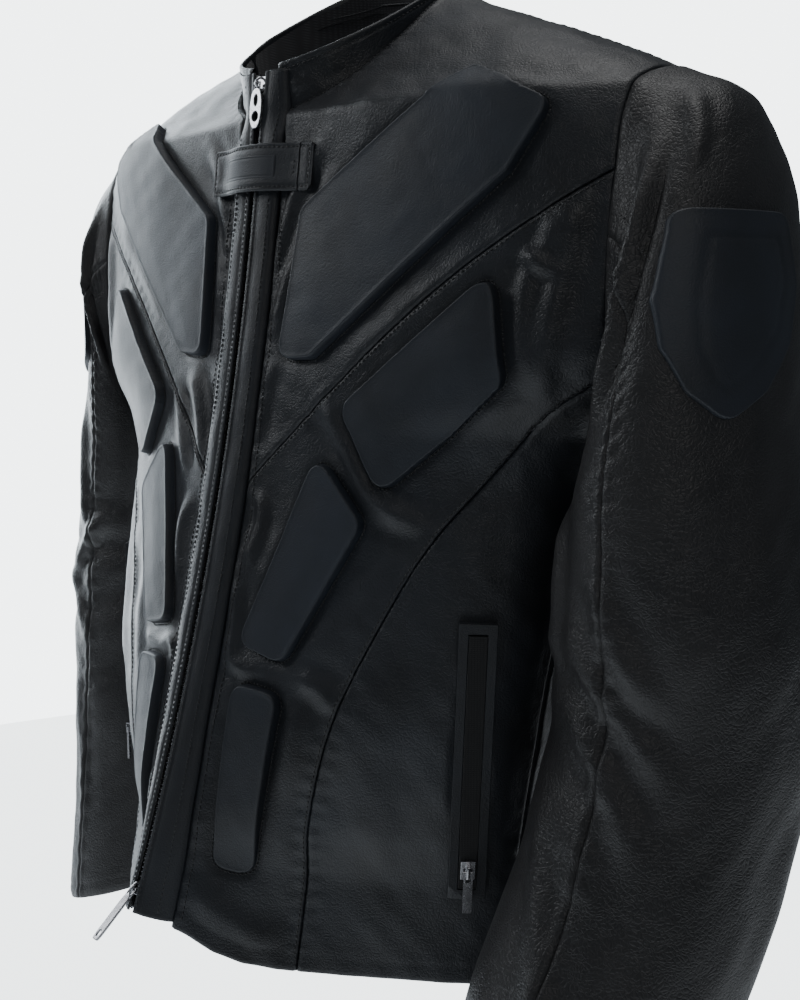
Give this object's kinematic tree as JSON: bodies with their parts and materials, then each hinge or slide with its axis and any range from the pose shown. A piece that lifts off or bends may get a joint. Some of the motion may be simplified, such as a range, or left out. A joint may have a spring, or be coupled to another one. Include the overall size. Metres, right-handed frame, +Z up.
{
  "type": "leather riding jacket",
  "caption": "Closed leather riding jacket with stand collar, two-way front zip, throat tab, moulded chest, rib, waist, hip and shoulder pads and bendable sleeves.",
  "frame": {"origin": "centre of the neck seat, on the line between the two shoulders that carry the jacket", "axes": "+Z up towards the collar, -Y towards the front zip, +X towards the wearer's left"},
  "size_m": [0.8, 0.3948, 0.875],
  "materials": {
    "jacket_leather": "smooth semi-gloss grain",
    "pad_leather": "smooth satin, moulded",
    "strap_leather": "smooth, stitched edges",
    "lining_fabric": "fine woven",
    "zip_tape": "woven tape",
    "zip_metal": "polished nickel",
    "label": "embossed blank patch"
  },
  "bodies": {
    "shell": {"back_centre_left": "jacket_leather", "back_centre_right": "jacket_leather", "back_side_left": "jacket_leather", "back_side_right": "jacket_leather", "back_yoke": "jacket_leather", "chest_pad_left": "pad_leather", "chest_pad_right": "pad_leather", "collar_lining": "lining_fabric", "collar_outer": "jacket_leather", "front_middle_left": "jacket_leather", "front_middle_right": "jacket_leather", "front_side_left": "jacket_leather", "front_side_right": "jacket_leather", "front_yoke_left": "jacket_leather", "front_yoke_right": "jacket_leather", "hanger_loop": "strap_leather", "hip_pad_left": "pad_leather", "hip_pad_right": "pad_leather", "lining_body": "lining_fabric", "lining_upper_sleeves": "lining_fabric", "placket_left": "strap_leather", "placket_right": "strap_leather", "pocket_bags": "lining_fabric", "pocket_welts": "strap_leather", "pocket_zips": "zip_tape", "rib_pad_left": "pad_leather", "rib_pad_right": "pad_leather", "shield_pad_left": "pad_leather", "shield_pad_right": "pad_leather", "sleeve_top_left": "jacket_leather", "sleeve_top_right": "jacket_leather", "sleeve_under_left": "jacket_leather", "sleeve_under_right": "jacket_leather", "snap_stud": "zip_metal", "throat_tab_base": "strap_leather", "waist_pad_left": "pad_leather", "waist_pad_right": "pad_leather", "zip_foot": "zip_metal", "zip_tape_left": "zip_tape", "zip_tape_right": "zip_tape", "zip_teeth_left": "zip_metal", "zip_teeth_right": "zip_metal"},
    "top_slider": {"top_slider": "zip_metal"},
    "top_pull": {"top_pull": "zip_metal"},
    "bottom_slider": {"bottom_slider": "zip_metal"},
    "bottom_pull": {"bottom_pull": "zip_metal"},
    "throat_tab": {"throat_tab": "strap_leather", "throat_label": "label", "snap_socket": "zip_metal"},
    "pocket_slider_left": {"pocket_slider_left": "zip_metal"},
    "pocket_slider_right": {"pocket_slider_right": "zip_metal"},
    "pocket_pull_left": {"pocket_pull_left": "zip_metal"},
    "pocket_pull_right": {"pocket_pull_right": "zip_metal"},
    "forearm_left": {"forearm_top_left": "jacket_leather", "forearm_under_left": "jacket_leather", "forearm_lining_left": "lining_fabric"},
    "forearm_right": {"forearm_top_right": "jacket_leather", "forearm_under_right": "jacket_leather", "forearm_lining_right": "lining_fabric"}
  },
  "joints": [
    {"name": "top_slider_travel", "type": "hinge", "parent": "shell", "child": "top_slider", "pos_m": [0, -2.579, 0.207], "axis": [-1, 0, 0], "range_deg": [0, 10.5]},
    {"name": "top_pull_swing", "type": "hinge", "parent": "top_slider", "child": "top_pull", "pos_m": [0, -0.0986, -0.04128], "axis": [-1, 0, 0], "range_deg": [0, 150]},
    {"name": "bottom_slider_travel", "type": "hinge", "parent": "shell", "child": "bottom_slider", "pos_m": [0, -2.579, 0.207], "axis": [1, 0, 0], "range_deg": [0, 1.2]},
    {"name": "bottom_pull_swing", "type": "hinge", "parent": "bottom_slider", "child": "bottom_pull", "pos_m": [0, -0.22654, -0.61762], "axis": [-1, 0, 0], "range_deg": [-30, 110]},
    {"name": "throat_tab_open", "type": "hinge", "parent": "shell", "child": "throat_tab", "pos_m": [0.04585, -0.09991, -0.10381], "axis": [0, 0.1244, 0.9922], "range_deg": [0, 150]},
    {"name": "pocket_zip_left", "type": "slide", "parent": "shell", "child": "pocket_slider_left", "axis": [0.0275, 0.0218, 0.9994], "range_m": [0, 0.15]},
    {"name": "pocket_zip_right", "type": "slide", "parent": "shell", "child": "pocket_slider_right", "axis": [-0.0275, 0.0218, 0.9994], "range_m": [0, 0.15]},
    {"name": "pocket_pull_left_swing", "type": "hinge", "parent": "pocket_slider_left", "child": "pocket_pull_left", "pos_m": [0.2065, -0.09567, -0.581], "axis": [-0.6941, -0.7191, 0.0348], "range_deg": [0, 150]},
    {"name": "pocket_pull_right_swing", "type": "hinge", "parent": "pocket_slider_right", "child": "pocket_pull_right", "pos_m": [-0.2065, -0.09567, -0.581], "axis": [-0.6941, 0.7191, -0.0348], "range_deg": [0, 150]},
    {"name": "elbow_left", "type": "hinge", "parent": "shell", "child": "forearm_left", "pos_m": [0.32, -0.112, -0.452], "axis": [-1, 0, 0], "range_deg": [0, 45], "stiffness_Nm_per_rad": 8},
    {"name": "elbow_right", "type": "hinge", "parent": "shell", "child": "forearm_right", "pos_m": [-0.32, -0.066, -0.452], "axis": [-1, 0, 0], "range_deg": [0, 45], "stiffness_Nm_per_rad": 8}
  ]
}
